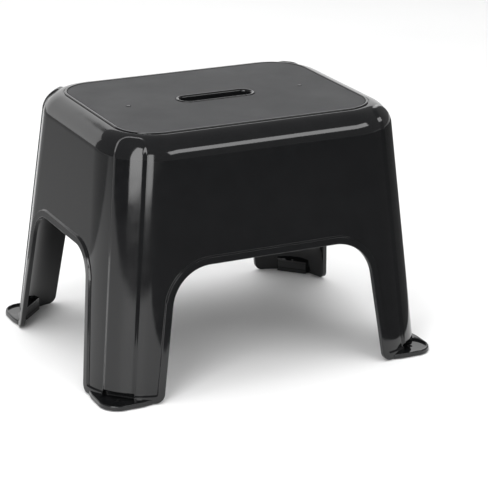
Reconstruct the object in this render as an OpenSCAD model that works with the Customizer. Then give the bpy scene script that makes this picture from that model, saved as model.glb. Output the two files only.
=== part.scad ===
// Moulded plastic step stool: a one-piece shell with four corner legs, a matt tread mat let into
// its top and four push-in rubber feet. Millimetres. The origin is on the floor, under the middle
// of the stool. +X runs along its length, -Y is its front and +Z is up.

/* [Overall] */
// Height from the floor to the rim round the tread
stool_h = 250; // [200:1:300]
// Outside length of the walls at the floor
base_w = 352; // [290:1:430]
// Outside depth of the walls at the floor
base_d = 282; // [232:1:340]
// How far each wall leans in between the floor and the top
wall_lean = 24; // [10:0.5:26]
// Outside radius of the upright corners
corner_r = 60; // [50:1:66]
// Radius of the shoulder between the top and the walls
shoulder_r = 22; // [14:1:26]

/* [Shell] */
// Thickness of the walls
wall_t = 2.6; // [2:0.1:4]
// Thickness of the top under the tread mat
top_t = 3; // [2:0.1:5]
// How far the corner bands and the lips stand out from the walls
band_raise = 2; // [0.8:0.1:2.5]
// Reach of a corner band along each wall, from the corner where the walls would meet
band_reach = 29.5; // [26:0.5:36]
// Gap between the top of a corner band and the top of the shoulder
band_gap = 1; // [0.5:0.5:20]
// Width of the lip round the arches and along the foot of each leg
lip_w = 7.3; // [5:0.1:9]

/* [Arches] */
// Width of a leg along each wall, measured at the floor
leg_w = 57; // [50:1:70]
// Height of the front and back arches above the floor
front_arch_h = 127; // [80:1:150]
// Radius of the upper corners of the front and back arches
front_arch_r = 40; // [15:1:50]
// Height of the side arches above the floor
side_arch_h = 132.5; // [80:0.5:150]
// Radius of the upper corners of the side arches
side_arch_r = 30; // [12:1:36]
// Lean of both sides of every arch, in degrees
arch_lean = 8; // [0:0.5:12]
// Radius of the lower corners of the legs
leg_corner_r = 9; // [4:0.5:12]

/* [Tread] */
// Border between the ends of the tread mat and the planes of the end walls at the top
mat_border_x = 22; // [18:0.5:40]
// Border between the long sides of the tread mat and the planes of the long walls at the top
mat_border_y = 24; // [18:0.5:40]
// Corner radius of the tread mat
mat_r = 34; // [15:0.5:45]
// Thickness of the tread mat
mat_t = 2.2; // [1.5:0.1:3]
// How far the tread mat lies below the rim
mat_sink = 0.3; // [0:0.1:0.8]
// Gap round the tread mat, the collar and the pegs
mat_gap = 0.4; // [0.2:0.1:1]
// Width of the raised rim round the tread mat
rim_w = 2.4; // [1.5:0.1:4]
// Height of the raised rim above the shoulder
rim_h = 1; // [0.5:0.1:2]
// Width of the groove outside the rim
groove_w = 1.2; // [0.6:0.1:2]
// Depth of the groove outside the rim
groove_h = 0.8; // [0.4:0.1:1]
// Length of the opening of the hand slot
slot_l = 76; // [60:1:110]
// Width of the opening of the hand slot
slot_w = 18; // [14:0.5:30]
// Thickness of the collar round the hand slot
collar_t = 3.5; // [2.5:0.1:6]
// Depth of the collar round the hand slot
collar_h = 14; // [8:1:20]
// Diameter of the two pegs that locate the tread mat
peg_d = 4; // [3:0.1:6]
// Distance between the two pegs
peg_span = 186; // [130:1:190]

/* [Ribs] */
// Depth of the ribs under the top
rib_h = 9; // [4:1:16]
// Thickness of the ribs under the top
rib_t = 2; // [1.5:0.1:3]
// Distance between neighbouring ribs
rib_pitch = 46; // [35:1:60]

/* [Feet] */
// Height of the shell's lower edge above the floor
foot_gap = 1; // [0.5:0.1:2]
// Radius of the round plate at the foot of each leg
plate_r = 19; // [16:0.5:22]
// Thickness of the round plate
plate_t = 4.5; // [4:0.1:6]
// Width of the rim left round the dish in the plate
plate_rim = 2.5; // [2:0.5:4]
// Depth of the dish in the plate
dish_h = 2; // [1:0.1:2]
// Height of the pocket over the plate, where the dish runs on into the leg
pocket_h = 6; // [4:0.5:12]
// Distance from the middle of the plate to the flat back of the pocket
pocket_back = 8; // [7.5:0.5:11]
// Diameter of the pad of a rubber foot
pad_d = 18; // [12:0.5:19]
// Depth of the recess that the pad sits in
pad_recess = 1; // [0.5:0.1:1.2]
// Clearance round the pad in its recess
pad_fit = 0.3; // [0.1:0.1:0.6]
// Diameter of the hole for a rubber foot's stem, which the stem fills
stem_d = 4.6; // [3:0.1:7]
// How far the stem ends below the floor of the dish
stem_sink = 1.2; // [0.2:0.1:1.4]

/* [Hidden] */
shell_black = "#26272a";
mat_grey = "#3b3c3f";
rubber_black = "#161616";

cut = 1; // how far a cutting shape runs past the face that it cuts
past = 20; // how far an arch's cutting shape runs past the walls
sliver = 0.5; // thickness of the lowest layer of a hulled block
hull_fn = 44;
round_fn = 64;
arc_steps = 12;

shoulder_z = stool_h - rim_h;
lean = wall_lean / stool_h; // how far a wall leans in for each unit of height
mat_w = base_w - 2 * wall_lean - 2 * mat_border_x;
mat_d = base_d - 2 * wall_lean - 2 * mat_border_y;
mat_z = stool_h - mat_sink - mat_t; // underside of the tread mat
ceiling_z = mat_z - top_t; // underside of the top
collar_l = slot_l + 2 * collar_t;
collar_w = slot_w + 2 * collar_t;
plate_top = foot_gap + plate_t;
dish_z = plate_top - dish_h;
pocket_top = plate_top + pocket_h;
pocket_r = plate_r - plate_rim;
plate_x = half_w(foot_gap) + band_raise - plate_r;
plate_y = half_d(foot_gap) + band_raise - plate_r;

// Outside half length and half depth of the walls at a height
function half_w(z) = base_w / 2 - lean * z;
function half_d(z) = base_d / 2 - lean * z;

// Points of an arc round c, from angle a0 to angle a1
function arc(c, r, a0, a1) =
    [for (i = [0:arc_steps]) let (a = a0 + (a1 - a0) * i / arc_steps) c + r * [cos(a), sin(a)]];

// Rounded rectangle, standing on z = 0
module slab(w, d, r, h) {
    linear_extrude(h) {
        square([w - 2 * r, d], center = true);
        square([w, d - 2 * r], center = true);
        for (sx = [-1, 1], sy = [-1, 1]) {
            translate([sx * (w / 2 - r), sy * (d / 2 - r)]) circle(r, $fn = round_fn);
        }
    }
}

// Rounded rectangle grown by g all round from the outline of the tread mat
module mat_slab(g, h) {
    slab(mat_w + 2 * g, mat_d + 2 * g, mat_r + g, h);
}

// Slot with round ends along X, standing on z = 0
module stadium(l, w, h) {
    linear_extrude(h) {
        square([l - w, w], center = true);
        for (sx = [-1, 1]) {
            translate([sx * (l - w) / 2, 0]) circle(w / 2, $fn = round_fn);
        }
    }
}

// The children, copied into all four corners from the corner at +X +Y
module four_corners() {
    for (mx = [0, 1], my = [0, 1]) {
        mirror([mx, 0, 0]) mirror([0, my, 0]) children();
    }
}

// Upper half of a ring with a round section
module half_ring(major, minor) {
    rotate_extrude($fn = hull_fn) {
        intersection() {
            translate([major, 0]) circle(minor, $fn = hull_fn);
            square([major + minor, minor]);
        }
    }
}

// Solid block with the stool's leaning walls, round corners and shoulder, grown outwards by g
module block(g, bottom, top) {
    r = corner_r + g;
    minor = shoulder_r + g;
    major = r - minor * sqrt(1 + lean * lean); // the shoulder meets the leaning wall smoothly
    ring_z = top - minor;
    hull() {
        for (sx = [-1, 1], sy = [-1, 1]) {
            translate([sx * (half_w(bottom) - corner_r), sy * (half_d(bottom) - corner_r), bottom])
                cylinder(sliver, r, r, $fn = hull_fn);
            translate([sx * (half_w(ring_z) - corner_r), sy * (half_d(ring_z) - corner_r), ring_z])
                half_ring(major, minor);
        }
    }
}

// Outline of an arch, grown by g: leaning sides, round upper corners and round feet
module arch_outline(foot_w, h, upper_r, g) {
    slope = tan(arch_lean);
    reach = tan((90 - arch_lean) / 2); // from a corner to the start of its round, over the radius
    side = g / cos(arch_lean);
    r_up = upper_r + g;
    r_low = max(leg_corner_r - g, cut);
    up = [foot_w / 2 - slope * h + side - (upper_r + g) * reach, h + g - r_up];
    low = [foot_w / 2 - slope * foot_gap + side + r_low * reach, foot_gap + r_low];
    half = concat(
        [[low[0], -past]],
        arc(low, r_low, 270, 180 + arch_lean),
        arc(up, r_up, arch_lean, 90)
    );
    polygon(concat(half, [for (i = [len(half) - 1:-1:0]) [-half[i][0], half[i][1]]]));
}

// Prisms through the front and back arches and through the side arches
module arches(g) {
    rotate([90, 0, 0])
        linear_extrude(base_d + 2 * past, center = true)
            arch_outline(base_w - 2 * leg_w, front_arch_h, front_arch_r, g);
    rotate([90, 0, 90])
        linear_extrude(base_w + 2 * past, center = true)
            arch_outline(base_d - 2 * leg_w, side_arch_h, side_arch_r, g);
}

// Leaning prism that takes in the corner at +X +Y, as far along each wall as a corner band reaches
module corner_prism() {
    near = -band_reach;
    polyhedron(
        points = [
            for (z = [foot_gap, shoulder_z - band_gap], p = [[near, near], [past, near], [past, past], [near, past]])
                [half_w(z) + p[0], half_d(z) + p[1], z]
        ],
        faces = [[0, 1, 2, 3], [4, 5, 1, 0], [7, 6, 5, 4], [5, 6, 2, 1], [6, 7, 3, 2], [7, 4, 0, 3]]
    );
}

// Corner bands and lips, as solid out from the middle of the stool
module raised() {
    intersection() {
        block(band_raise, foot_gap, shoulder_z + band_raise);
        union() {
            arches(lip_w);
            four_corners() corner_prism();
            translate([-base_w / 2 - past, -base_d / 2 - past, foot_gap])
                cube([base_w + 2 * past, base_d + 2 * past, lip_w]);
        }
    }
}

// Disc at the middle of the foot plate at +X +Y, with a flat back towards the middle of the stool
module disc(r, back, low, high) {
    translate([plate_x, plate_y, low]) linear_extrude(high - low) intersection() {
        circle(r, $fn = round_fn);
        rotate(45) translate([-back, -2 * plate_r]) square(4 * plate_r);
    }
}

// Foot plate of the corner at +X +Y: a disc, and a ledge along each wall up to where its round ends
module plate() {
    run = corner_r - plate_r;
    disc(plate_r, pocket_back + wall_t, foot_gap, plate_top);
    translate([plate_x, plate_y, foot_gap]) linear_extrude(plate_t) {
        translate([-run, plate_r / 2]) square([run, plate_r / 2]);
        translate([plate_r / 2, -run]) square([plate_r / 2, run]);
    }
}

// Ribs under the top, in both directions
module ribs() {
    low = ceiling_z - rib_h;
    for (i = [-2:2]) {
        translate([i * rib_pitch - rib_t / 2, -base_d / 2, low]) cube([rib_t, base_d, rib_h + cut]);
    }
    for (i = [-1:1]) {
        translate([-base_w / 2, i * rib_pitch - rib_t / 2, low]) cube([base_w, rib_t, rib_h + cut]);
    }
}

module pegs(h) {
    for (sx = [-1, 1]) {
        translate([sx * peg_span / 2, 0, mat_z - cut]) cylinder(h + cut, peg_d / 2, peg_d / 2, $fn = round_fn);
    }
}

// The hollow inside the shell, less what stands in it: ribs, collar and pockets
module hollow() {
    difference() {
        block(-wall_t, foot_gap - cut, ceiling_z);
        ribs();
        translate([0, 0, stool_h - collar_h]) stadium(collar_l, collar_w, collar_h);
        four_corners() disc(pocket_r + wall_t, pocket_back + wall_t, foot_gap, pocket_top + wall_t);
    }
}

// Recess for the tread mat, less the collar and the pegs that stand in it
module mat_recess() {
    difference() {
        translate([0, 0, mat_z]) mat_slab(mat_gap, mat_t + mat_sink + cut);
        translate([0, 0, stool_h - collar_h]) stadium(collar_l, collar_w, collar_h - mat_sink);
        pegs(mat_t);
    }
}

module groove() {
    inner = mat_gap + rim_w;
    translate([0, 0, shoulder_z - groove_h]) difference() {
        mat_slab(inner + groove_w, groove_h + cut);
        translate([0, 0, -cut]) mat_slab(inner, groove_h + 3 * cut);
    }
}

// What a foot plate is cut by: the dish and its pocket, the stem's hole and the pad's recess
module plate_cuts() {
    disc(pocket_r, pocket_back, dish_z, pocket_top);
    translate([plate_x, plate_y, 0]) {
        cylinder(plate_top + cut, stem_d / 2, stem_d / 2, $fn = round_fn);
        cylinder(foot_gap + pad_recess, pad_d / 2 + pad_fit, pad_d / 2 + pad_fit, $fn = round_fn);
    }
}

module stool_body() {
    color(shell_black) difference() {
        union() {
            block(0, foot_gap, shoulder_z);
            raised();
            four_corners() plate();
            translate([0, 0, shoulder_z - rim_h]) mat_slab(mat_gap + rim_w, 2 * rim_h);
        }
        hollow();
        mat_recess();
        groove();
        translate([0, 0, stool_h - collar_h - cut]) stadium(slot_l, slot_w, collar_h + 2 * cut);
        arches(0);
        four_corners() plate_cuts();
    }
}

module tread_mat() {
    color(mat_grey) difference() {
        translate([0, 0, mat_z]) mat_slab(0, mat_t);
        translate([0, 0, mat_z - cut]) stadium(collar_l + 2 * mat_gap, collar_w + 2 * mat_gap, mat_t + 2 * cut);
        for (sx = [-1, 1]) {
            translate([sx * peg_span / 2, 0, mat_z - cut])
                cylinder(mat_t + 2 * cut, peg_d / 2 + mat_gap, peg_d / 2 + mat_gap, $fn = round_fn);
        }
    }
}

// Rubber foot of the corner at sx, sy: a pad on the floor and the stem that fills the plate's hole
module foot(sx, sy) {
    color(rubber_black) translate([sx * plate_x, sy * plate_y, 0]) {
        cylinder(foot_gap + pad_recess, pad_d / 2, pad_d / 2, $fn = round_fn);
        cylinder(dish_z - stem_sink, stem_d / 2, stem_d / 2, $fn = round_fn);
    }
}

stool_body();
tread_mat();
foot(-1, -1);  // foot_front_left
foot(1, -1);  // foot_front_right
foot(-1, 1);  // foot_back_left
foot(1, 1);  // foot_back_right
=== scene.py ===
"""A moulded black step stool: glossy shell, matt tread mat and rubber feet, on a pale floor.

Sizes are in millimetres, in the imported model's frame, and become metres where a mesh is made.
One quarter of the shell is worked out and mirrored into the other three. A quarter has two sides,
the long one (FRONT) and the short one (END), which meet on the diagonal of a corner. A place on a
side is given by u and t: u runs from -1 at the side's middle to 0 where the corner starts, and from
there in degrees round the corner; t is the height, and runs on round the shoulder as a length.
"""
import math

import bmesh
import bpy
import numpy as np
from mathutils import Matrix, Vector
from mathutils.geometry import delaunay_2d_cdt


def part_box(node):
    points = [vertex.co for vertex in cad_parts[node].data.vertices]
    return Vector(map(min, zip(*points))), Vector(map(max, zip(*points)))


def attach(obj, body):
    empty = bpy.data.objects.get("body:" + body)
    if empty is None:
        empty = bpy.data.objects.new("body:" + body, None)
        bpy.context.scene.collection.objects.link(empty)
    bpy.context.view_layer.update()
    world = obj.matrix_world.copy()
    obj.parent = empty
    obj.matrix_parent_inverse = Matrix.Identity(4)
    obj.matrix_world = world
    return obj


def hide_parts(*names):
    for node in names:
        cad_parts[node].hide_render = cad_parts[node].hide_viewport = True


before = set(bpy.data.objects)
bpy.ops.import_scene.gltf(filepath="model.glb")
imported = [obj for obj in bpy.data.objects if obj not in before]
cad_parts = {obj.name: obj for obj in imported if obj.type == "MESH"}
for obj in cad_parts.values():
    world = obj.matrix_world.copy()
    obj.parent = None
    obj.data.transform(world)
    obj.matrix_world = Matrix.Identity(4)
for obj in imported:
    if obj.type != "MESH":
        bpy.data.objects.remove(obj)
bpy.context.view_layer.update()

MM = 0.001
FRONT, END = 0, 1

# Sizes of the shell, from the frame and the CAD's own named sizes
shell_low, shell_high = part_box("stool_body")
BAND_RAISE = 2.0
LEAN = 24 / 250
STOOL_H = shell_high[2] / MM
FOOT_GAP = shell_low[2] / MM
HALF_W = shell_high[0] / MM - BAND_RAISE + LEAN * FOOT_GAP
HALF_D = shell_high[1] / MM - BAND_RAISE + LEAN * FOOT_GAP
CORNER_R = 60.0
SHOULDER_R = 22.0
WALL_T = 2.6
TOP_T = 3.0
BAND_REACH = 29.5
BAND_RAMP = 4.6
BAND_END_TILT = 24.0  # degrees from flat at which a corner band ends, on the shoulder
BAND_END_R = 9.0
LIP_W = 7.3
LIP_RAMP = 1.5
EDGE_R = 0.8

# Arches
LEG_W = 57.0
ARCH_LEAN = math.radians(8)
LEG_CORNER_R = 9.0
ARCH_H = {FRONT: 127.0, END: 132.5}
ARCH_R = {FRONT: 40.0, END: 30.0}

# Tread
RIM_H = 1.0
RIM_W = 2.4
GROOVE_W = 1.2
GROOVE_H = 0.8
MAT_R = 34.0
MAT_GAP = 0.4
SLOT_L = 76.0
SLOT_W = 18.0
COLLAR_T = 3.5
COLLAR_H = 14.0
COLLAR_RISE = 0.5
PEG_D = 4.0
PEG_SPAN = 186.0
RIB_H = 9.0
RIB_T = 2.0
RIB_PITCH = 46.0
RIB_SLANT = 9.0
RIB_TAPER = 0.2
GROOVE_ROUND = 0.25
RIM_ROUND = 0.9
RECESS_ROUND = 0.6
COLLAR_ROUND = 0.8
HAND_ROUND = 2.2  # on the edge of the slot that the fingers bend over
COLLAR_END_ROUND = 0.6
MAT_EDGE = 0.5
EASE = 0.3  # a small slope in an inside corner

# Feet
PLATE_R = 19.0
PLATE_T = 4.5
PLATE_RIM = 2.5
DISH_H = 2.0
POCKET_H = 6.0
POCKET_BACK = 8.0  # from the middle of the plate to the flat back of the pocket
WINDOW_HALF = 16.1  # half the width, along the wall, of the pocket's opening
PAD_D = 18.0
PAD_RECESS = 1.0
STEM_D = 4.6
STEM_SINK = 1.2
PLATE_ROUND = 1.0
WINDOW_ROUND = 2.5
PAD_PLAY = 0.05

SHOULDER_Z = STOOL_H - RIM_H
mat_low, mat_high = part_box("tread_mat")
MAT_Z = mat_low[2] / MM
MAT_TOP = mat_high[2] / MM
MAT_HALF_W = mat_high[0] / MM
MAT_HALF_D = mat_high[1] / MM
CEILING_Z = MAT_Z - TOP_T
PLATE_TOP = FOOT_GAP + PLATE_T
DISH_Z = PLATE_TOP - DISH_H
DISH_R = PLATE_R - PLATE_RIM
WINDOW_TOP = PLATE_TOP + POCKET_H
PLATE_X = HALF_W - LEAN * FOOT_GAP + BAND_RAISE - PLATE_R
PLATE_Y = HALF_D - LEAN * FOOT_GAP + BAND_RAISE - PLATE_R
JOIN_Z = 152.0  # below this height a side is triangulated round its arch, above it is a plain grid
OUTER_END = 78.0  # degrees that the outer skin turns up before the flat border takes over
DIGITS = 6  # places that agree to this many digits are the same place
HALF_ALONG = {FRONT: HALF_W, END: HALF_D}
HALF_OUT = {FRONT: HALF_D, END: HALF_W}


# ---------------------------------------------------------------- numbers

def smooth_step(x):
    x = np.clip(x, 0, 1)
    return x * x * (3 - 2 * x)


def snap(p):
    return tuple(np.round(p, DIGITS))


def spread(stops):
    """Values through the stops. Each is (value, step), and the step holds up to the next value."""
    out = []
    for (start, step), (end, _) in zip(stops, stops[1:]):
        n = max(1, round((end - start) / step))
        out += list(np.linspace(start, end, n, endpoint=False))
    return np.array(out + [stops[-1][0]])


def psi_and_tilt(u):
    """How far round the corner a place is, and how far the wall leans there, in radians."""
    psi = np.radians(np.maximum(u, 0))
    return psi, np.arctan(LEAN * (np.sin(psi) + np.cos(psi)))


# ---------------------------------------------------------------- the block both skins follow

class Block:
    """Leaning walls with round corners and a round shoulder, grown outwards by grow."""

    def __init__(self, grow, top):
        self.minor = SHOULDER_R + grow
        self.major = CORNER_R + grow - self.minor * math.sqrt(1 + LEAN**2)
        self.ring_z = top - self.minor

    def centre(self, half):
        """How far a corner's centre is from the middle, at the height where the shoulder starts."""
        return half - LEAN * self.ring_z - CORNER_R

    def parts(self, side, u, t):
        psi, tilt = psi_and_tilt(u)
        wall_top = self.ring_z + self.minor * np.sin(tilt)
        rise = np.minimum(tilt + np.maximum(t - wall_top, 0) / self.minor, math.pi / 2)
        rho = self.major + self.minor * np.cos(rise)
        drop = LEAN * np.maximum(wall_top - t, 0)
        along_c = self.centre(HALF_ALONG[side]) + drop
        out_c = self.centre(HALF_OUT[side]) + drop
        return psi, tilt, wall_top, rise, rho, along_c, out_c

    def developed(self, side, u, t):
        """Distance from the side's middle, measured along the surface."""
        psi, _, _, _, _, along_c, _ = self.parts(side, u, t)
        return np.where(u < 0, (u + 1) * along_c, along_c + CORNER_R * psi)

    def u_of(self, side, a, t):
        along_c = self.centre(HALF_ALONG[side]) + LEAN * (self.wall_top() - t)
        return np.where(a < along_c, a / along_c - 1, np.degrees((a - along_c) / CORNER_R))

    def wall_top(self, u=0.0):
        psi = math.radians(max(u, 0))
        tilt = math.atan(LEAN * (math.sin(psi) + math.cos(psi)))
        return self.ring_z + self.minor * math.sin(tilt)

    def t_of_rise(self, u, degrees):
        """The t at which the surface has turned that far up from upright."""
        _, tilt = psi_and_tilt(u)
        return self.ring_z + self.minor * (np.sin(tilt) + np.radians(degrees) - tilt)

    def point(self, side, u, t, height=None):
        psi, _, wall_top, rise, rho, along_c, out_c = self.parts(side, u, t)
        z = np.where(t < wall_top, t, self.ring_z + self.minor * np.sin(rise))
        along = np.where(u < 0, (u + 1) * along_c, along_c + rho * np.sin(psi))
        out = out_c + rho * np.cos(psi)
        if height is not None:
            h = height(side, u, t)
            along = along + h * np.sin(psi) * np.cos(rise)
            out = out + h * np.cos(psi) * np.cos(rise)
            z = z + h * np.sin(rise)
        return to_xyz(side, along, out, z)

    def normal(self, side, u, t, height=None):
        du, dt = 0.004, 0.01
        across = self.point(side, u + du, t, height) - self.point(side, u - du, t, height)
        up = self.point(side, u, t + dt, height) - self.point(side, u, t - dt, height)
        n = np.cross(across, up) * (1 if side == FRONT else -1)
        return n / np.linalg.norm(n, axis=-1, keepdims=True)


def to_xyz(side, along, out, z):
    """Places of the quarter at +X -Y."""
    along, out, z = np.broadcast_arrays(along, out, z)
    xy = (along, -out) if side == FRONT else (out, -along)
    return np.stack([xy[0], xy[1], z], axis=-1).astype(float)


OUTER = Block(0.0, SHOULDER_Z)
INNER = Block(-WALL_T, CEILING_Z)


# ---------------------------------------------------------------- lips and bands

class Arch:
    """Outline of an arch and of the leg beside it, on one developed side."""

    def __init__(self, side):
        h, self.r = ARCH_H[side], ARCH_R[side]
        slope, reach = math.tan(ARCH_LEAN), math.tan(math.pi / 4 - ARCH_LEAN / 2)
        foot = HALF_ALONG[side] - LEG_W
        self.h = h
        self.up = np.array([foot - slope * h - self.r * reach, h - self.r])
        self.low = np.array([foot - slope * FOOT_GAP + LEG_CORNER_R * reach,
                             FOOT_GAP + LEG_CORNER_R])
        self.lean_dir = np.array([math.cos(ARCH_LEAN), math.sin(ARCH_LEAN)])
        self.side_top = self.up + self.r * self.lean_dir
        self.side_low = self.low - LEG_CORNER_R * self.lean_dir

    def distance(self, a, z):
        """Distance from the outline to a place on the wall."""
        a = np.abs(a)
        best = segment_distance(a, z, np.array([0, self.h]), np.array([self.up[0], self.h]))
        best = np.minimum(best, segment_distance(a, z, self.side_top, self.side_low))
        far = np.array([2 * HALF_W, FOOT_GAP])
        best = np.minimum(best, segment_distance(a, z, np.array([self.low[0], FOOT_GAP]), far))
        best = np.minimum(best, arc_distance(a, z, self.up, self.r, ARCH_LEAN, math.pi / 2))
        low_start = -math.pi + ARCH_LEAN
        return np.minimum(best, arc_distance(a, z, self.low, LEG_CORNER_R, low_start, -math.pi / 2))

    def outline(self, bottom):
        """Places from the arch's middle to the foot, and the way into the wall at each."""
        rows = [((x, self.h), (0, 1)) for x in spread([(0, 3), (self.up[0], 3)])[:-1]]
        for angle in np.radians(spread([(90, 2.5), (math.degrees(ARCH_LEAN), 2.5)][::-1]))[::-1]:
            d = np.array([math.cos(angle), math.sin(angle)])
            rows.append((self.up + self.r * d, d))
        n = round(np.linalg.norm(self.side_top - self.side_low) / 2.5)
        for k in range(1, n):
            rows.append((self.side_top + (self.side_low - self.side_top) * k / n, self.lean_dir))
        for angle in np.radians(np.linspace(180 + math.degrees(ARCH_LEAN), 270, 13)):
            d = np.array([math.cos(angle), math.sin(angle)])
            rows.append((self.low + LEG_CORNER_R * d, -d))
        rows += [((x, FOOT_GAP), (0, 1)) for x in bottom if x > self.low[0] + 0.8]
        return [(np.array(p, float), np.array(d, float)) for p, d in rows]


def segment_distance(a, z, p, q):
    d = q - p
    k = np.clip(((a - p[0]) * d[0] + (z - p[1]) * d[1]) / (d @ d), 0, 1)
    return np.hypot(a - p[0] - k * d[0], z - p[1] - k * d[1])


def arc_distance(a, z, c, r, start, end):
    angle = np.arctan2(z - c[1], a - c[0])
    inside = (angle >= start - 1e-6) & (angle <= end + 1e-6)
    return np.where(inside, np.abs(np.hypot(a - c[0], z - c[1]) - r), 1e6)


ARCHES = {side: Arch(side) for side in (FRONT, END)}
BAND_HALF_ANGLE = math.pi / 4 - math.asin((CORNER_R - BAND_REACH) / CORNER_R)


def raised(side, u, t):
    """How far the outer skin stands out from the block: corner bands, lips and rounded edges."""
    psi, _, wall_top, _, rho, along_c, _ = OUTER.parts(side, u, t)
    flat = np.where(u < 0, -u * along_c, 0)
    beside = rho * (np.abs(math.pi / 4 - psi) - BAND_HALF_ANGLE) + flat
    above = t - OUTER.t_of_rise(u, 90 - BAND_END_TILT)
    qx, qy = beside + BAND_END_R, above + BAND_END_R
    beyond = np.hypot(np.maximum(qx, 0), np.maximum(qy, 0))
    gap = np.minimum(np.maximum(qx, qy), 0) + beyond - BAND_END_R
    band = smooth_step(0.5 - gap / BAND_RAMP)
    d = ARCHES[side].distance(OUTER.developed(side, u, t), t)
    lip = smooth_step(0.5 + (LIP_W - d) / LIP_RAMP)
    inset = np.clip(EDGE_R - d, 0, EDGE_R)
    return BAND_RAISE * (1 - (1 - band) * (1 - lip)) - (EDGE_R - np.sqrt(EDGE_R**2 - inset**2))


# ---------------------------------------------------------------- mesh patches

COLUMNS = spread([(-1, 1 / 26), (0, 2.5), (26, 0.5), (35, 2), (45, 2)])


class Mesh:
    """Patches of points, normals and faces, gathered into one mesh with its own normals."""

    def __init__(self):
        self.points, self.normals, self.faces, self.count = [], [], [], 0

    def add(self, points, normals, faces):
        self.points.append(points)
        self.normals.append(normals)
        self.faces += [[i + self.count for i in f] for f in faces]
        self.count += len(points)

    def add_grid(self, points, normals, side, flip=False):
        """Rows of points go up the outside, and columns go away from the side's middle."""
        rows, cols = points.shape[:2]
        faces = []
        for j in range(rows - 1):
            for i in range(cols - 1):
                k = j * cols + i
                faces.append([k, k + 1, k + cols + 1, k + cols])
        if (side == END) != flip:
            faces = [f[::-1] for f in faces]
        self.add(points.reshape(-1, 3), normals.reshape(-1, 3), faces)

    def build(self, name):
        """Mirrors the quarter into all four, joins what touches and makes the object."""
        p, n = np.concatenate(self.points), np.concatenate(self.normals)
        corners, corner_normals, places = [], [], []
        for k, (sx, sy) in enumerate([(1, 1), (-1, 1), (-1, -1), (1, -1)]):
            places.append(p * [sx, sy, 1])
            turned = n * [sx, sy, 1]
            for f in self.faces:
                f = f if sx * sy > 0 else f[::-1]
                corners.append([i + k * len(p) for i in f])
                corner_normals.append(turned[f])
        places = np.concatenate(places)
        _, first, where = np.unique(np.round(places, 3), axis=0,
                                    return_index=True, return_inverse=True)
        where = where.reshape(-1)
        keep, loops, loop_normals = set(), [], []
        for f, fn in zip(corners, corner_normals):
            ids = where[f]
            chosen = [i for i in range(len(ids)) if ids[i] != ids[i - 1]]
            if len(chosen) < 3 or len(set(ids[chosen])) != len(chosen):
                continue
            key = tuple(sorted(ids[chosen]))
            if key in keep:
                continue
            keep.add(key)
            loops.append(ids[chosen].tolist())
            loop_normals.append(fn[chosen])
        mesh = bpy.data.meshes.new(name)
        mesh.from_pydata((places[first] * MM).tolist(), [], loops)
        mesh.update()
        mesh.shade_smooth()
        mesh.normals_split_custom_set(np.concatenate(loop_normals).tolist())
        obj = bpy.data.objects.new(name, mesh)
        bpy.context.scene.collection.objects.link(obj)
        return obj


def nearest(verts, p):
    return int(np.argmin(np.abs(verts - np.array(p)).sum(axis=1)))


def inside_polygon(points, loop):
    x, y = points[:, 0], points[:, 1]
    hit = np.zeros(len(points), bool)
    for (x0, y0), (x1, y1) in zip(loop, np.roll(loop, -1, axis=0)):
        crosses = (y0 > y) != (y1 > y)
        with np.errstate(divide="ignore", invalid="ignore"):
            hit ^= crosses & (x < (x1 - x0) * (y - y0) / (y1 - y0) + x0)
    return hit


def triangulate(points, loop, holes=()):
    """Triangles of the points that lie inside the loop of places and outside the holes."""
    edges = []
    at = {snap(p): i for i, p in enumerate(points)}
    for ring in (loop, *holes):
        ids = [at[snap(p)] for p in ring]
        edges += [(ids[k - 1], ids[k]) for k in range(len(ids))]
    cut = delaunay_2d_cdt([Vector(p) for p in points], edges, [], 0, 1e-6, False)
    verts, faces = cut[0], cut[2]
    verts = np.array([(v.x, v.y) for v in verts])
    faces = np.array([f for f in faces if len(f) == 3])
    mid = verts[faces].mean(axis=1)
    ok = inside_polygon(mid, np.array(loop))
    for hole in holes:
        ok &= ~inside_polygon(mid, np.array(hole))
    a, b, c = (verts[faces[:, k]] for k in range(3))
    area = (b[:, 0] - a[:, 0]) * (c[:, 1] - a[:, 1]) - (b[:, 1] - a[:, 1]) * (c[:, 0] - a[:, 0])
    ok &= np.abs(area) > 1e-5
    faces = faces[ok]
    faces[area[ok] < 0] = faces[area[ok] < 0][:, ::-1]
    return verts, faces


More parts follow.
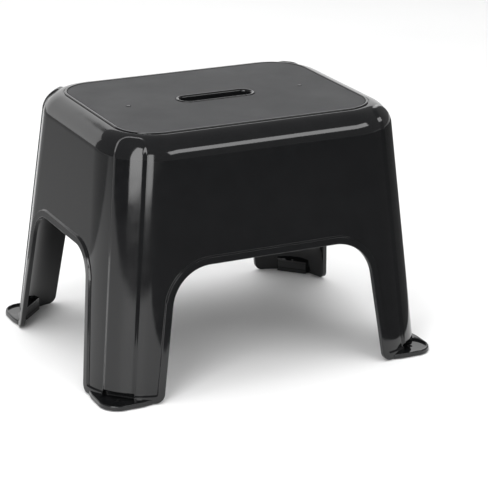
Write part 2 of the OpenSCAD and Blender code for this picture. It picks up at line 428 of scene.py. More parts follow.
def lower_wall(mesh, side):
    """The part of a side that goes round its arch, with both skins and the edge between them."""
    arch = ARCHES[side]

    def seam(z):
        return float(OUTER.developed(side, np.array(45.0), np.array(z)))

    def window_side(z):
        return seam(z) - WINDOW_HALF

    foot_columns = OUTER.developed(side, COLUMNS, np.full(len(COLUMNS), FOOT_GAP))
    foot_end = window_side(FOOT_GAP)
    bottom = [a for a in foot_columns if a < foot_end - 0.6] + [foot_end]
    outline = arch.outline(bottom)
    depths = spread([(0.06, 0.14), (EDGE_R, 0.8), (LIP_W - 1, 0.25), (LIP_W + 1, 1.3),
                     (LIP_W + 3.6, 1)])
    heights = spread([(13.6, 2), (22, 4), (JOIN_Z, 4)])
    window = [(window_side(z), z) for z in (3.0, PLATE_TOP, 8.0, WINDOW_TOP - WINDOW_ROUND)]
    for angle in np.radians([30, 60, 90]):
        window.append((window_side(WINDOW_TOP) + WINDOW_ROUND * (1 - math.cos(angle)),
                       WINDOW_TOP - WINDOW_ROUND * (1 - math.sin(angle))))
    top_run = np.linspace(window[-1][0], seam(WINDOW_TOP), 9)[1:]
    window += [(a, WINDOW_TOP) for a in top_run]

    points = [tuple(p) for p, _ in outline] + window
    for p, d in outline:
        for depth in depths:
            a, z = p + depth * d
            near = arch.distance(np.array(a), np.array(z)) < depth - 0.02
            in_window = a > window_side(z) - 0.3 and z < WINDOW_TOP + 0.5
            if not near and not in_window and z < JOIN_Z - 1 and a < seam(z) - 0.3:
                points.append((a, z))
    for z in heights:
        row = OUTER.developed(side, COLUMNS, np.full(len(COLUMNS), z))
        d = arch.distance(row, np.full(len(row), z))
        inside = (row > arch.up[0]) | (z > arch.h)
        hole = inside_polygon(np.stack([row, np.full(len(row), z)], 1),
                              np.array([tuple(p) for p, _ in outline] + [(0, FOOT_GAP)]))
        for a, away, ok, cut in zip(row, d, inside, hole):
            if away > depths[-1] + 0.8 and ok and not cut:
                points.append((a, z))
    points = list(dict.fromkeys(snap(p) for p in points))
    seam_run = {p for p in points if abs(p[0] - seam(p[1])) < 1e-3 and p[1] > WINDOW_TOP + 0.1}
    seam_run = sorted(seam_run, key=lambda p: p[1])
    top_row = sorted({p for p in points if abs(p[1] - JOIN_Z) < 1e-6}, reverse=True)
    middle = {p for p in points if abs(p[0]) < 1e-6 and p[1] < JOIN_Z - 1e-3}
    middle = sorted(middle, key=lambda p: -p[1])
    loop = [snap(p) for p, _ in outline] + [snap(p) for p in window]
    rim_count = len(loop)
    loop += [p for p in seam_run if p not in loop and p not in top_row] + top_row
    loop += [p for p in middle if p not in loop]
    verts, faces = triangulate(points, loop)

    a, z = verts[:, 0], verts[:, 1]
    u = OUTER.u_of(side, a, z)
    outer = OUTER.point(side, u, z, raised)
    outer_n = OUTER.normal(side, u, z, raised)
    inner = INNER.point(side, u, z)
    inner_n = -INNER.normal(side, u, z)

    rim = [nearest(verts, p) for p in loop[:rim_count]]
    ways = [d for _, d in outline]
    for k in range(len(window)):
        here = len(ways) + k
        before, after = loop[here - 1], loop[min(here + 1, rim_count - 1)]
        step = np.array(after) - np.array(before)
        ways.append(np.array([-step[1], step[0]]) / np.linalg.norm(step))
    edge_n = []
    for i, way in zip(rim, ways):
        psi = math.radians(max(float(u[i]), 0))
        edge_n.append(to_xyz(side, -way[0] * math.cos(psi), way[0] * math.sin(psi), -way[1]))
    edge_n = np.array(edge_n)
    outer_n[rim[:len(outline)]] = edge_n[:len(outline)]

    flip = side == END
    tri = [list(f) for f in (faces[:, ::-1] if flip else faces)]
    mesh.add(outer, outer_n, tri)
    mesh.add(inner, inner_n, [f[::-1] for f in tri])
    n = len(rim)
    strip = [[k, n + k, n + k + 1, k + 1] for k in range(n - 1)]
    mesh.add(np.concatenate([outer[rim], inner[rim]]), np.concatenate([edge_n, edge_n]),
             [f[::-1] if flip else f for f in strip])


def upper_wall(side, block, end, height=None):
    """A skin up the wall from the join and round the shoulder, till it has turned end degrees."""
    u = COLUMNS
    top = np.array([block.wall_top(x) for x in u])
    last = block.t_of_rise(u, end)
    rows = [JOIN_Z + (top - JOIN_Z) * k for k in np.linspace(0, 1, 17)[:-1]]
    rows += [top + (last - top) * k for k in np.linspace(0, 1, 34)]
    t = np.array(rows)
    uu = np.broadcast_to(u, t.shape)
    points = block.point(side, uu, t, height)
    normals = block.normal(side, uu, np.minimum(t, last - 0.02), height)
    return points, normals


def ring(side, centre, radius, z):
    """One row round a rounded rectangle whose corner centres are at centre = (x, y)."""
    along_c, out_c = centre if side == FRONT else centre[::-1]
    psi = np.radians(np.maximum(COLUMNS, 0))
    along = np.where(COLUMNS < 0, (COLUMNS + 1) * along_c, along_c + radius * np.sin(psi))
    return to_xyz(side, along, out_c + radius * np.cos(psi), np.full(len(COLUMNS), z))


def ring_rows(side, centre, radius, profile):
    """Rows through a profile of (growth, height), going inwards over the top, with their normals."""
    profile = np.array(profile, float)
    step = np.diff(profile, axis=0)
    step /= np.linalg.norm(step, axis=1, keepdims=True)
    run = np.concatenate([step[:1], step[:-1] + step[1:], step[-1:]])
    run /= np.linalg.norm(run, axis=1, keepdims=True)
    psi = np.radians(np.maximum(COLUMNS, 0))
    points, normals = [], []
    for (grow, z), (dg, dz) in zip(profile, run):
        points.append(ring(side, centre, radius + grow, z))
        normals.append(to_xyz(side, dz * np.sin(psi), dz * np.cos(psi), np.full(len(psi), -dg)))
    return np.array(points), np.array(normals)


def rounded(grow, z, r, start, end, steps=4):
    """Profile points on an arc about (grow, z)."""
    return [(grow + r * math.cos(a), z + r * math.sin(a))
            for a in np.radians(np.linspace(start, end, steps + 1))]


MAT_CENTRE = (MAT_HALF_W - MAT_R, MAT_HALF_D - MAT_R)
SLOT_CENTRE = ((SLOT_L - SLOT_W) / 2, 0.0)


def between(first, last, count):
    """Rows from the first to the last, both included."""
    return np.array([first + (last - first) * k for k in np.linspace(0, 1, count)])


def shoulder_height(p):
    """Height of the outer shoulder over a place in plan."""
    cx, cy = OUTER.centre(HALF_W), OUTER.centre(HALF_D)
    q = np.maximum(np.abs(p[..., :2]) - [cx, cy], 0)
    outside = np.maximum(np.linalg.norm(q, axis=-1) - OUTER.major, 0)
    return OUTER.ring_z + np.sqrt(OUTER.minor**2 - outside**2)


def shell():
    mesh = Mesh()
    up = np.array([0.0, 0.0, 1.0])
    for side in (FRONT, END):
        lower_wall(mesh, side)
        points, normals = upper_wall(side, OUTER, OUTER_END, raised)
        mesh.add_grid(points, normals, side)
        inner, inner_n = upper_wall(side, INNER, 90)
        mesh.add_grid(inner, -inner_n, side, flip=True)

        # From the shoulder to the groove, over the flat border
        groove_out = MAT_GAP + RIM_W + GROOVE_W
        goal = ring(side, MAT_CENTRE, MAT_R + groove_out, SHOULDER_Z)
        border = between(points[-1], goal, 9)
        border[1:, :, 2] = shoulder_height(border[1:])
        centre = np.array([OUTER.centre(HALF_W), OUTER.centre(HALF_D)])
        outwards = border[..., :2] - np.clip(border[..., :2], -centre, centre)
        reach = np.linalg.norm(outwards, axis=-1, keepdims=True)
        over = np.maximum(reach - OUTER.major, 0)
        flat_n = np.concatenate([outwards / np.maximum(reach, 1e-9) * over,
                                 np.sqrt(OUTER.minor**2 - over**2)], axis=-1) / OUTER.minor
        mesh.add_grid(border, flat_n, side)

        # Groove, rim and the recess that the mat lies in
        rim_out = MAT_GAP + RIM_W
        low = SHOULDER_Z - GROOVE_H
        profile = [(groove_out, SHOULDER_Z)]
        profile += rounded(groove_out - EASE, low + EASE, GROOVE_ROUND, 0, -90)
        profile += rounded(rim_out + EASE, low + EASE, GROOVE_ROUND, -90, -180)
        profile += rounded(rim_out - RIM_ROUND, STOOL_H - RIM_ROUND, RIM_ROUND, 0, 90, 6)
        profile += rounded(MAT_GAP + RECESS_ROUND, STOOL_H - RECESS_ROUND, RECESS_ROUND, 90, 180, 5)
        profile += [(MAT_GAP, MAT_TOP - EASE), (MAT_GAP, MAT_Z + 0.1), (MAT_GAP - 0.1, MAT_Z)]
        points, normals = ring_rows(side, MAT_CENTRE, MAT_R, profile)
        points[0] = border[-1]
        mesh.add_grid(points, normals, side)

        # Floor of the recess, the collar round the slot, and the ceiling
        collar_top = MAT_TOP + COLLAR_RISE
        collar_end = STOOL_H - COLLAR_H + COLLAR_END_ROUND
        end_r = COLLAR_END_ROUND
        collar = [(COLLAR_T + EASE, MAT_Z), (COLLAR_T, MAT_Z + EASE)]
        collar += rounded(COLLAR_T - COLLAR_ROUND, collar_top - COLLAR_ROUND, COLLAR_ROUND, 0, 90)
        collar += rounded(HAND_ROUND, collar_top - HAND_ROUND, HAND_ROUND, 90, 180, 7)
        collar += [(0, STOOL_H - COLLAR_H + 4), (0, collar_end)]
        collar += rounded(end_r, collar_end, end_r, 180, 270, 3)
        collar += rounded(COLLAR_T - end_r, collar_end, end_r, -90, 0, 3)
        collar += [(COLLAR_T, CEILING_Z - 0.5), (COLLAR_T + 0.5, CEILING_Z)]
        slot_rows, slot_n = ring_rows(side, SLOT_CENTRE, SLOT_W / 2, collar)
        mesh.add_grid(slot_rows, slot_n, side)
        floor = between(points[-1], slot_rows[0], 4)
        mesh.add_grid(floor, np.broadcast_to(up, floor.shape), side)
        ceiling = between(slot_rows[-1], inner[-1], 5)
        mesh.add_grid(ceiling, np.broadcast_to(-up, ceiling.shape), side)
    return mesh.build("stool_body")


# ---------------------------------------------------------------- smaller closed pieces

def solid(name, points, faces, sharp=35.0, mirror=False):
    """An object of closed pieces in millimetres. Faces that meet within sharp degrees shade smoothly.
    At each corner a face counts by its area, so large flat faces stay flat."""
    points = np.array(points, float)
    places, polys = [], []
    signs = [(1, 1), (-1, 1), (-1, -1), (1, -1)] if mirror else [(1, 1)]
    for k, (sx, sy) in enumerate(signs):
        places.append(points * [sx, sy, 1])
        polys += [[i + k * len(points) for i in (f if sx * sy > 0 else f[::-1])] for f in faces]
    mesh = bpy.data.meshes.new(name)
    mesh.from_pydata((np.concatenate(places) * MM).tolist(), [], polys)
    form = bmesh.new()
    form.from_mesh(mesh)
    bmesh.ops.recalc_face_normals(form, faces=form.faces)
    form.to_mesh(mesh)
    form.normal_update()
    limit = math.cos(math.radians(sharp))
    normals = []
    for face in form.faces:
        for corner in face.loops:
            total = Vector((0, 0, 0))
            for near in corner.vert.link_faces:
                if near.normal.dot(face.normal) > limit:
                    total += near.normal * near.calc_area()
            normals.append(total.normalized())
    form.free()
    mesh.shade_smooth()
    mesh.normals_split_custom_set(normals)
    obj = bpy.data.objects.new(name, mesh)
    bpy.context.scene.collection.objects.link(obj)
    return obj


def strips(start, count, rows):
    """Faces between each ring of count points and the next, from the point start on."""
    faces = []
    for j in range(rows - 1):
        for k in range(count):
            a, b = start + j * count + k, start + j * count + (k + 1) % count
            faces.append([a, b, b + count, a + count])
    return faces


def lathe(profile, centre, count=48):
    """A closed turned piece. The profile is (radius, height), from the bottom to the top."""
    points = []
    for r, z in profile:
        for k in range(count):
            angle = 2 * math.pi * k / count
            points.append((centre[0] + r * math.cos(angle), centre[1] + r * math.sin(angle), z))
    faces = strips(0, count, len(profile))
    faces.append(list(range(count))[::-1])
    faces.append([(len(profile) - 1) * count + k for k in range(count)])
    return points, faces


def circle(centre, r, count=48):
    angles = 2 * np.pi * np.arange(count) / count
    return [(centre[0] + r * math.cos(a), centre[1] + r * math.sin(a)) for a in angles]


def disc_radius(angle, r, back):
    """Radius of a disc that is cut off flat, at a distance of back, towards the stool's middle."""
    facing = math.cos(angle - math.radians(225))
    return min(r, back / facing) if facing > 0 else r


def disc_ring(r, back, angles):
    radii = [disc_radius(a, r, back) for a in angles]
    return [(PLATE_X + d * math.cos(a), PLATE_Y + d * math.sin(a)) for a, d in zip(angles, radii)]


def arc(centre, r, start, end, count):
    return [tuple(centre + r * np.array([math.cos(a), math.sin(a)]))
            for a in np.linspace(start, end, count)]


DISC_STEPS = np.radians(np.linspace(45, 405, 361))
PLATE_END_TAPER = 1.6
PLATE_END_RUN = 10.0


def foot_plate():
    """The plate at the foot of the leg at +X +Y: a dish with a rim, and a ledge that fills the corner
    up to where the walls' round ends. Its inner edge runs inside the wall."""
    run = LEG_W - LEG_CORNER_R - PLATE_R - 1
    corner = np.array([HALF_W - CORNER_R, HALF_D - CORNER_R])
    hidden_r = CORNER_R - 1.0
    inner = [p for p in disc_ring(PLATE_R, POCKET_BACK + WALL_T, DISC_STEPS)
             if np.linalg.norm(np.array(p) - corner) < hidden_r - 0.05]

    def outline(inset):
        """The plate's outline, pulled in by inset on the side that shows."""
        r = PLATE_R - inset
        rows = [(PLATE_X + r - PLATE_END_TAPER, PLATE_Y - run),
                (PLATE_X + r, PLATE_Y - run + PLATE_END_RUN)]
        for angle in np.radians(np.linspace(0, 90, 25)):
            rows.append((PLATE_X + r * math.cos(angle), PLATE_Y + r * math.sin(angle)))
        rows += [(PLATE_X - run + PLATE_END_RUN, PLATE_Y + r),
                 (PLATE_X - run, PLATE_Y + r - PLATE_END_TAPER)]
        start = math.acos((PLATE_X - run - corner[0]) / hidden_r)
        ends = [math.atan2(*(np.array(p) - corner)[::-1]) for p in (inner[0], inner[-1])]
        before = arc(corner, hidden_r, start, ends[0], 12)[:-1]
        after = arc(corner, hidden_r, ends[1], math.pi / 2 - start, 12)[1:]
        return rows + before + inner + after

    lean = LEAN * (PLATE_T - PLATE_ROUND)
    sides = [(0.5, FOOT_GAP), (0.12, FOOT_GAP + 0.2), (0, FOOT_GAP + 0.6),
             (lean, PLATE_TOP - PLATE_ROUND)]
    for angle in np.radians([25, 50, 75, 90]):
        sides.append((lean + PLATE_ROUND * (1 - math.cos(angle)),
                      PLATE_TOP - PLATE_ROUND * (1 - math.sin(angle))))
    rings = [[(x, y, z) for x, y in outline(inset)] for inset, z in sides]
    pad_z = FOOT_GAP + PAD_RECESS
    dish = [(DISH_R + 0.5, PLATE_TOP), (DISH_R + 0.15, PLATE_TOP - 0.2), (DISH_R, PLATE_TOP - 0.6),
            (DISH_R - 0.25, DISH_Z + 0.6), (DISH_R - 0.55, DISH_Z + 0.2), (DISH_R - 1.1, DISH_Z),
            (STEM_D / 2 + EASE, DISH_Z), (STEM_D / 2, DISH_Z - EASE), (STEM_D / 2, pad_z),
            (PAD_D / 2 + EASE, pad_z), (PAD_D / 2 + EASE, FOOT_GAP)]
    points = [p for row in rings for p in row]
    n = len(rings[0])
    faces = strips(0, n, len(rings))
    start = len(points)
    count = 72
    angles = 2 * np.pi * np.arange(count) / count
    for r, z in dish:
        back = POCKET_BACK + r - DISH_R if r > DISH_R - 2 else PLATE_R
        points += [(x, y, z) for x, y in disc_ring(r, back, angles)]
    faces += strips(start, count, len(dish))
    for loop_start, ring_start, flip in ((start - n, start, False), (0, len(points) - count, True)):
        loop = [points[loop_start + k][:2] for k in range(n)]
        hole = [points[ring_start + k][:2] for k in range(count)]
        flat = [snap(p) for p in loop + hole]
        verts, tris = triangulate(flat, flat[:n], [flat[n:]])
        ids = [loop_start + k for k in range(n)] + [ring_start + k for k in range(count)]
        order = [ids[nearest(np.array(flat), v)] for v in verts]
        faces += [[order[i] for i in (f[::-1] if flip else f)] for f in tris]
    return points, faces


def extrusion(outline, low, high):
    n = len(outline)
    points = [(x, y, z) for z in (low, high) for x, y in outline]
    faces = [[k, (k + 1) % n, (k + 1) % n + n, k + n] for k in range(n)]
    return points, faces + [list(range(n))[::-1], list(range(n, 2 * n))]


def foot_pocket():
    """The wall and the ceiling of the pocket in which the dish runs on into the post at +X +Y."""
    corner = np.array([HALF_W, HALF_D]) - LEAN * WINDOW_TOP - CORNER_R
    skin_r = CORNER_R - 0.8

    def inside(r, back):
        return [p for p in disc_ring(r, back, DISC_STEPS)
                if np.linalg.norm(np.array(p) - corner) < skin_r]

    inner, outer = inside(DISH_R, POCKET_BACK), inside(DISH_R + WALL_T, POCKET_BACK + WALL_T)
    first, last = (math.atan2(*(np.array(p) - corner)[::-1]) for p in (outer[0], outer[-1]))
    skin = arc(corner, skin_r, last, first, 14)[1:-1]
    wall = extrusion(outer + inner[::-1], PLATE_TOP - 1, WINDOW_TOP + 0.5)
    roof = extrusion(outer + skin, WINDOW_TOP, WINDOW_TOP + WALL_T)
    return [wall, roof]


def ribs():
    """Ribs under the top. Their slanted ends finish inside the shoulder."""
    points, faces = [], []
    low, high = CEILING_Z - RIB_H, CEILING_Z + 0.5
    reach = INNER.major + INNER.minor

    def rib(start, end, across, turn, start_slant, end_slant):
        base = len(points)
        for t, slant, sign in ((start, start_slant, 1), (end, end_slant, -1)):
            for w in (-RIB_T / 2, RIB_T / 2):
                for z, shift, thin in ((low, 0, RIB_TAPER), (high, slant * sign, 0)):
                    along = t + shift
                    side_w = w - math.copysign(thin, w)
                    p = (along, across + side_w, z) if not turn else (across + side_w, along, z)
                    points.append(p)
        quads = ((0, 1, 3, 2), (4, 6, 7, 5), (0, 2, 6, 4), (1, 5, 7, 3), (0, 4, 5, 1), (2, 3, 7, 6))
        faces.extend([[base + i for i in (q[::-1] if not turn else q)] for q in quads])

    for turn, centre_size, pitch_count, blocked, gap in (
            (False, (HALF_W, HALF_D), 1, SLOT_W / 2 + COLLAR_T, SLOT_L / 2 + COLLAR_T),
            (True, (HALF_D, HALF_W), 2, SLOT_L / 2 + COLLAR_T, SLOT_W / 2 + COLLAR_T)):
        end = INNER.centre(centre_size[0]) + reach - 2
        for i in range(-pitch_count, pitch_count + 1):
            across = i * RIB_PITCH
            corner = abs(across) - INNER.centre(centre_size[1])
            stop = end if corner <= 0 else end - reach + math.sqrt(max(reach**2 - corner**2, 0))
            if abs(across) < blocked:
                rib(gap - 0.5, stop, across, turn, 0, RIB_SLANT)
                rib(-stop, -gap + 0.5, across, turn, RIB_SLANT, 0)
            else:
                rib(-stop, stop, across, turn, RIB_SLANT, RIB_SLANT)
    return points, faces


def pegs():
    points, faces = [], []
    for sx in (-1, 1):
        r = PEG_D / 2
        profile = [(r, MAT_Z - 1), (r, MAT_TOP - 0.1), (r - 0.15, MAT_TOP + 0.1),
                   (r * 0.6, MAT_TOP + 0.22), (r * 0.2, MAT_TOP + 0.26)]
        p, f = lathe(profile, (sx * PEG_SPAN / 2, 0), 32)
        faces += [[i + len(points) for i in q] for q in f]
        points += p
    return points, faces


def tread_mat():
    """The inlay: rounded edges from rows, flat faces triangulated round the slot and the pegs."""
    def outline(grow):
        rows = []
        for sx, sy, start in ((1, -1, -90), (1, 1, 0), (-1, 1, 90), (-1, -1, 180)):
            for angle in np.radians(np.linspace(start, start + 90, 25)):
                rows.append((sx * MAT_CENTRE[0] + (MAT_R + grow) * math.cos(angle),
                             sy * MAT_CENTRE[1] + (MAT_R + grow) * math.sin(angle)))
        return rows

    def slot(grow):
        rows = []
        r = SLOT_W / 2 + COLLAR_T + MAT_GAP - grow
        for sx, start in ((1, -90), (-1, 90)):
            for angle in np.radians(np.linspace(start, start + 180, 33)):
                rows.append((sx * SLOT_CENTRE[0] + r * math.cos(angle), r * math.sin(angle)))
        return rows

    edge = [(0, MAT_Z), (0, MAT_TOP - MAT_EDGE), (-0.15, MAT_TOP - 0.15), (-MAT_EDGE, MAT_TOP)]
    points, faces, tops, bottoms = [], [], [], []
    shapes = [(outline, 1), (slot, -1)]

    def peg_hole(sx):
        return lambda grow: circle((sx * PEG_SPAN / 2, 0), PEG_D / 2 + MAT_GAP - grow, 32)

    shapes += [(peg_hole(sx), -1) for sx in (-1, 1)]
    for shape, turn in shapes:
        start = len(points)
        n = len(shape(0))
        for grow, z in edge:
            points += [(x, y, z) for x, y in shape(grow)]
        faces += [f[::turn] for f in strips(start, n, len(edge))]
        bottoms.append(range(start, start + n))
        tops.append(range(start + (len(edge) - 1) * n, start + len(edge) * n))
    for rings, up in ((tops, True), (bottoms, False)):
        ids = [i for r in rings for i in r]
        flat = [snap(points[i][:2]) for i in ids]
        loops, k = [], 0
        for r in rings:
            loops.append(flat[k:k + len(r)])
            k += len(r)
        verts, tris = triangulate(flat, loops[0], loops[1:])
        order = [ids[nearest(np.array(flat), v)] for v in verts]
        faces += [[order[i] for i in (f if up else f[::-1])] for f in tris]
    return points, faces


def rubber_foot(sx, sy):
    pad_r, stem_r, top = PAD_D / 2, STEM_D / 2 - PAD_PLAY, DISH_Z - STEM_SINK
    pad_top = FOOT_GAP + PAD_RECESS - PAD_PLAY
    profile = [(0.5, 0), (pad_r - 2.5, 0), (pad_r - 0.8, 0.06), (pad_r - 0.2, 0.3), (pad_r, 0.8),
               (pad_r, pad_top), (stem_r, pad_top), (stem_r, top - EASE), (stem_r - EASE, top),
               (0.4, top)]
    return lathe(profile, (sx * PLATE_X, sy * PLATE_Y), 64)


# ---------------------------------------------------------------- materials

def new_material(name):
    mat = bpy.data.materials.new(name)
    mat.use_nodes = True
    tree = mat.node_tree
    return mat, tree, tree.nodes["Principled BSDF"]


def noise(tree, coords, scale, detail=3.0, roughness=0.5):
    node = tree.nodes.new("ShaderNodeTexNoise")
    node.inputs["Scale"].default_value = scale
    node.inputs["Detail"].default_value = detail
    node.inputs["Roughness"].default_value = roughness
    tree.links.new(coords, node.inputs["Vector"])
    return node.outputs["Fac"]


def span(tree, value, low, high, start=0.0, end=1.0):
    """Maps value from low..high onto start..end, held at both ends."""
    node = tree.nodes.new("ShaderNodeMapRange")
    for key, number in (("From Min", low), ("From Max", high), ("To Min", start), ("To Max", end)):
        node.inputs[key].default_value = number
    tree.links.new(value, node.inputs["Value"])
    return node.outputs["Result"]


def blend_colours(tree, factor, first, second):
    node = tree.nodes.new("ShaderNodeMix")
    node.data_type = "RGBA"
    node.inputs["A"].default_value = (*first, 1)
    node.inputs["B"].default_value = (*second, 1)
    tree.links.new(factor, node.inputs["Factor"])
    return node.outputs["Result"]


def combine(tree, operation, first, second):
    node = tree.nodes.new("ShaderNodeMath")
    node.operation = operation
    for socket, value in zip(node.inputs, (first, second)):
        if isinstance(value, (int, float)):
            socket.default_value = value
        else:
            tree.links.new(value, socket)
    return node.outputs["Value"]


def bump(tree, height, distance, strength, under=None):
    node = tree.nodes.new("ShaderNodeBump")
    node.inputs["Distance"].default_value = distance
    node.inputs["Strength"].default_value = strength
    tree.links.new(height, node.inputs["Height"])
    if under is not None:
        tree.links.new(under, node.inputs["Normal"])
    return node.outputs["Normal"]


def object_coords(tree):
    return tree.nodes.new("ShaderNodeTexCoord").outputs["Object"]


def gloss_plastic():
    """Polished black polypropylene: slow flow marks, a faint orange peel and scuffs on the edges."""
    mat, tree, shader = new_material("gloss_black")
    coords = object_coords(tree)
    flow = noise(tree, coords, 14, 2)
    haze = noise(tree, coords, 60, 4)
    grain = noise(tree, coords, 1500, 2)
    edges = tree.nodes.new("ShaderNodeNewGeometry").outputs["Pointiness"]
    worn = span(tree, noise(tree, coords, 260, 4), 0.45, 0.7)
    scuffs = combine(tree, "MULTIPLY", span(tree, edges, 0.52, 0.6), worn)
    tint = combine(tree, "ADD", span(tree, haze, 0.3, 0.7, 0, 0.5),
                   combine(tree, "MULTIPLY", scuffs, 0.5))
    colour = blend_colours(tree, tint, (0.0048, 0.0050, 0.0054), (0.0075, 0.0077, 0.0082))
    tree.links.new(colour, shader.inputs["Base Color"])
    rough = combine(tree, "ADD", span(tree, haze, 0.3, 0.7, 0.06, 0.1),
                    combine(tree, "MULTIPLY", scuffs, 0.1))
    tree.links.new(rough, shader.inputs["Roughness"])
    slow = bump(tree, flow, 0.0006, 0.25)
    tree.links.new(bump(tree, grain, 0.00001, 0.35, slow), shader.inputs["Normal"])
    shader.inputs["IOR"].default_value = 1.49
    return mat


def grip_plastic():
    """Matt tread: fine, closely set grains, and cloudy patches a little lighter and rougher."""
    mat, tree, shader = new_material("matt_grip")
    coords = object_coords(tree)
    cells = tree.nodes.new("ShaderNodeTexVoronoi")
    cells.inputs["Scale"].default_value = 900
    tree.links.new(coords, cells.inputs["Vector"])
    grains = span(tree, cells.outputs["Distance"], 0.1, 0.6, 1, 0)
    cloud = noise(tree, coords, 22, 4)
    tint = combine(tree, "ADD", span(tree, cloud, 0.3, 0.7, 0, 0.5),
                   combine(tree, "MULTIPLY", grains, 0.5))
    colour = blend_colours(tree, tint, (0.022, 0.0225, 0.024), (0.030, 0.0305, 0.032))
    tree.links.new(colour, shader.inputs["Base Color"])
    tree.links.new(span(tree, cloud, 0.3, 0.7, 0.5, 0.6), shader.inputs["Roughness"])
    tree.links.new(bump(tree, grains, 0.00012, 0.5), shader.inputs["Normal"])
    return mat


def foot_rubber():
    mat, tree, shader = new_material("black_rubber")
    coords = object_coords(tree)
    cloud = noise(tree, coords, 160, 4)
    colour = blend_colours(tree, span(tree, cloud, 0.3, 0.7), (0.006, 0.006, 0.006),
                           (0.012, 0.0117, 0.0114))
    tree.links.new(colour, shader.inputs["Base Color"])
    tree.links.new(span(tree, cloud, 0.3, 0.7, 0.6, 0.75), shader.inputs["Roughness"])
    grain = noise(tree, coords, 1200, 3)
    tree.links.new(bump(tree, grain, 0.00005, 0.5), shader.inputs["Normal"])
    return mat


def pale_floor():
    mat, tree, shader = new_material("pale_floor")
    cloud = noise(tree, object_coords(tree), 3, 3)
    colour = blend_colours(tree, cloud, (0.80, 0.80, 0.80), (0.83, 0.83, 0.83))
    tree.links.new(colour, shader.inputs["Base Color"])
    shader.inputs["Roughness"].default_value = 0.6
    shader.inputs["Specular IOR Level"].default_value = 0.2
    return mat


# ---------------------------------------------------------------- the stool

def place(obj, material, slot, *nodes):
    obj.data.materials.clear()
    obj.data.materials.append(material)
    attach(obj, "root")
    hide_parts(*nodes)


def join(base, others):
    """Joins closed pieces into the base object."""
    with bpy.context.temp_override(active_object=base, selected_editable_objects=[base, *others]):
        bpy.ops.object.join()


black, grip, rubber = gloss_plastic(), grip_plastic(), foot_rubber()
body = shell()
pockets = [solid("pocket", *piece, mirror=True) for piece in foot_pocket()]
plates = solid("plates", *foot_plate(), mirror=True)
join(body, [plates, *pockets, solid("ribs", *ribs()), solid("pegs", *pegs())])
place(body, black, "shell", "stool_body")
place(solid("tread_mat_inlay", *tread_mat()), grip, "mat", "tread_mat")
for side_name, sx in (("left", -1), ("right", 1)):
    for end_name, sy in (("front", -1), ("back", 1)):
        foot = solid(f"rubber_{end_name}_{side_name}", *rubber_foot(sx, sy))
        place(foot, rubber, "foot", f"foot_{end_name}_{side_name}")


# ---------------------------------------------------------------- floor, light and camera

def sheet_of(name, corners, material):
    mesh = bpy.data.meshes.new(name)
    mesh.from_pydata(corners, [], [list(range(len(corners)))])
    obj = bpy.data.objects.new(name, mesh)
    bpy.context.scene.collection.objects.link(obj)
    mesh.materials.append(material)
    return obj


FLOOR_HALF = 5.0
FLOOR_SIGNS = [(-1, -1), (1, -1), (1, 1), (-1, 1)]
sheet_of("floor", [(sx * FLOOR_HALF, sy * FLOOR_HALF, 0) for sx, sy in FLOOR_SIGNS], pale_floor())


def card(name, corners, shade):
    """A dark card on the floor that only reflections show, a painted dark reflection. It darkens what
    the glossy walls reflect, while the floor itself stays pale.
    """
    mat, _, shader = new_material(name)
    shader.inputs["Base Color"].default_value = (shade, shade, shade, 1)
    shader.inputs["Roughness"].default_value = 0.9
    obj = sheet_of(name, corners, mat)
    obj.visible_camera = obj.visible_diffuse = obj.visible_shadow = obj.visible_transmission = False


# Directions on the floor as the camera sees it
CARD_LIFT = 0.003
CAMERA_AZIMUTH = math.radians(-25.9)
RIGHT = Vector((math.cos(CAMERA_AZIMUTH), math.sin(CAMERA_AZIMUTH), 0))
NEARER = Vector((math.sin(CAMERA_AZIMUTH), -math.cos(CAMERA_AZIMUTH), 0))


def on_floor(right, nearer):
    return tuple(RIGHT * right + NEARER * nearer + Vector((0, 0, CARD_LIFT)))


# Painted dark and grey reflections: sheets seen only in the glossy walls, darker than the pale floor
# they lie on.
for card_name, shade, places in (
        ("dark_front", 0.05,
         [(0.1, 0.345), (0.1, 3.5), (3.0, 3.5), (3.0, 0.1), (0.25, 0.1), (0.25, 0.345)]),
        ("dark_right", 0.05, [(0.25, -1.3), (0.25, 0.1), (2.2, 0.1), (2.2, -1.3)]),
        ("dark_left", 0.05, [(-3.2, 1.0), (-3.2, 4.0), (0.1, 4.0), (0.1, 1.0)]),
        ("grey_behind", 0.28,
         [(-0.3, -0.2), (-0.55, -0.65), (-1.6, -2.6), (-3.4, -2.0), (-2.2, 0.5)])):
    card(card_name, [on_floor(r, n) for r, n in places], shade)


def softbox(name, place_at, target, size, radiance, gloss=True):
    """A soft rectangular light; size is (width, height) in metres."""
    light = bpy.data.lights.new(name, "AREA")
    light.shape = "RECTANGLE"
    light.size, light.size_y = size
    light.energy = radiance * math.pi * size[0] * size[1]
    obj = bpy.data.objects.new(name, light)
    obj.location = place_at
    obj.rotation_euler = (Vector(target) - Vector(place_at)).to_track_quat("-Z", "Y").to_euler()
    obj.visible_camera = False
    obj.visible_glossy = gloss
    bpy.context.scene.collection.objects.link(obj)


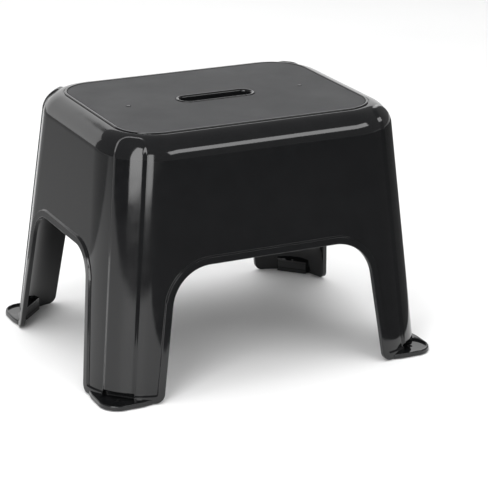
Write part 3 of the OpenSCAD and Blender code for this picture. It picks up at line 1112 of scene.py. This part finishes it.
def standing_box(name, start, end, distance, low, high, radiance):
    """A softbox that stands round the stool from start to end degrees left of its front."""
    middle = math.radians((start + end) / 2)
    width = 2 * distance * math.tan(math.radians((end - start) / 2))
    height = (low + high) / 2
    centre = (-distance * math.sin(middle), -distance * math.cos(middle), height)
    softbox(name, centre, (0, 0, height), (width, high - low), radiance)


softbox("left_box", (-2.085, -1.94, 1.915), (-1.116, -1.695, 1.915), (1.46, 3.77), 5.5)
standing_box("near_box", 23.5, 33, 2.4, 0.03, 1.5, 5)
softbox("backdrop", (1.2, 4.2, 1.25), (1.2, 0, 1.25), (8, 2.4), 1.1)
softbox("front_strip", (0.76, -1.22, 1.12), (0, 0, 0.2), (1.5, 0.42), 5)
softbox("top_fill", (-0.3, 0.2, 2.6), (0, 0, 0), (3.2, 3.2), 3.0, gloss=False)

WORLD_STRENGTH = 0.22
world = bpy.data.worlds.new("studio")
world.use_nodes = True
world.node_tree.nodes["Background"].inputs["Color"].default_value = (1, 1, 1, 1)
world.node_tree.nodes["Background"].inputs["Strength"].default_value = WORLD_STRENGTH
bpy.context.scene.world = world
bpy.context.scene.view_settings.view_transform = "Standard"

CAMERA_ELEVATION = math.radians(19.08)
CAMERA_ROLL = math.radians(0.59)
CAMERA_DISTANCE = 2.0286
CAMERA_LENS = 149.5
CAMERA_SHIFT = (0.061, -0.0584)
target = Vector((0, 0, STOOL_H * MM / 2))
forward = Vector((-math.sin(CAMERA_AZIMUTH) * math.cos(CAMERA_ELEVATION),
                  math.cos(CAMERA_AZIMUTH) * math.cos(CAMERA_ELEVATION), -math.sin(CAMERA_ELEVATION)))
camera_data = bpy.data.cameras.new("camera")
camera_data.sensor_width = 36
camera_data.lens = CAMERA_LENS
camera_data.shift_x, camera_data.shift_y = CAMERA_SHIFT
camera_data.clip_start, camera_data.clip_end = 0.05, 50
camera = bpy.data.objects.new("camera", camera_data)
turn = forward.to_track_quat("-Z", "Y").to_matrix() @ Matrix.Rotation(CAMERA_ROLL, 3, "Z")
camera.matrix_world = Matrix.Translation(target - forward * CAMERA_DISTANCE) @ turn.to_4x4()
bpy.context.scene.collection.objects.link(camera)
bpy.context.scene.camera = camera
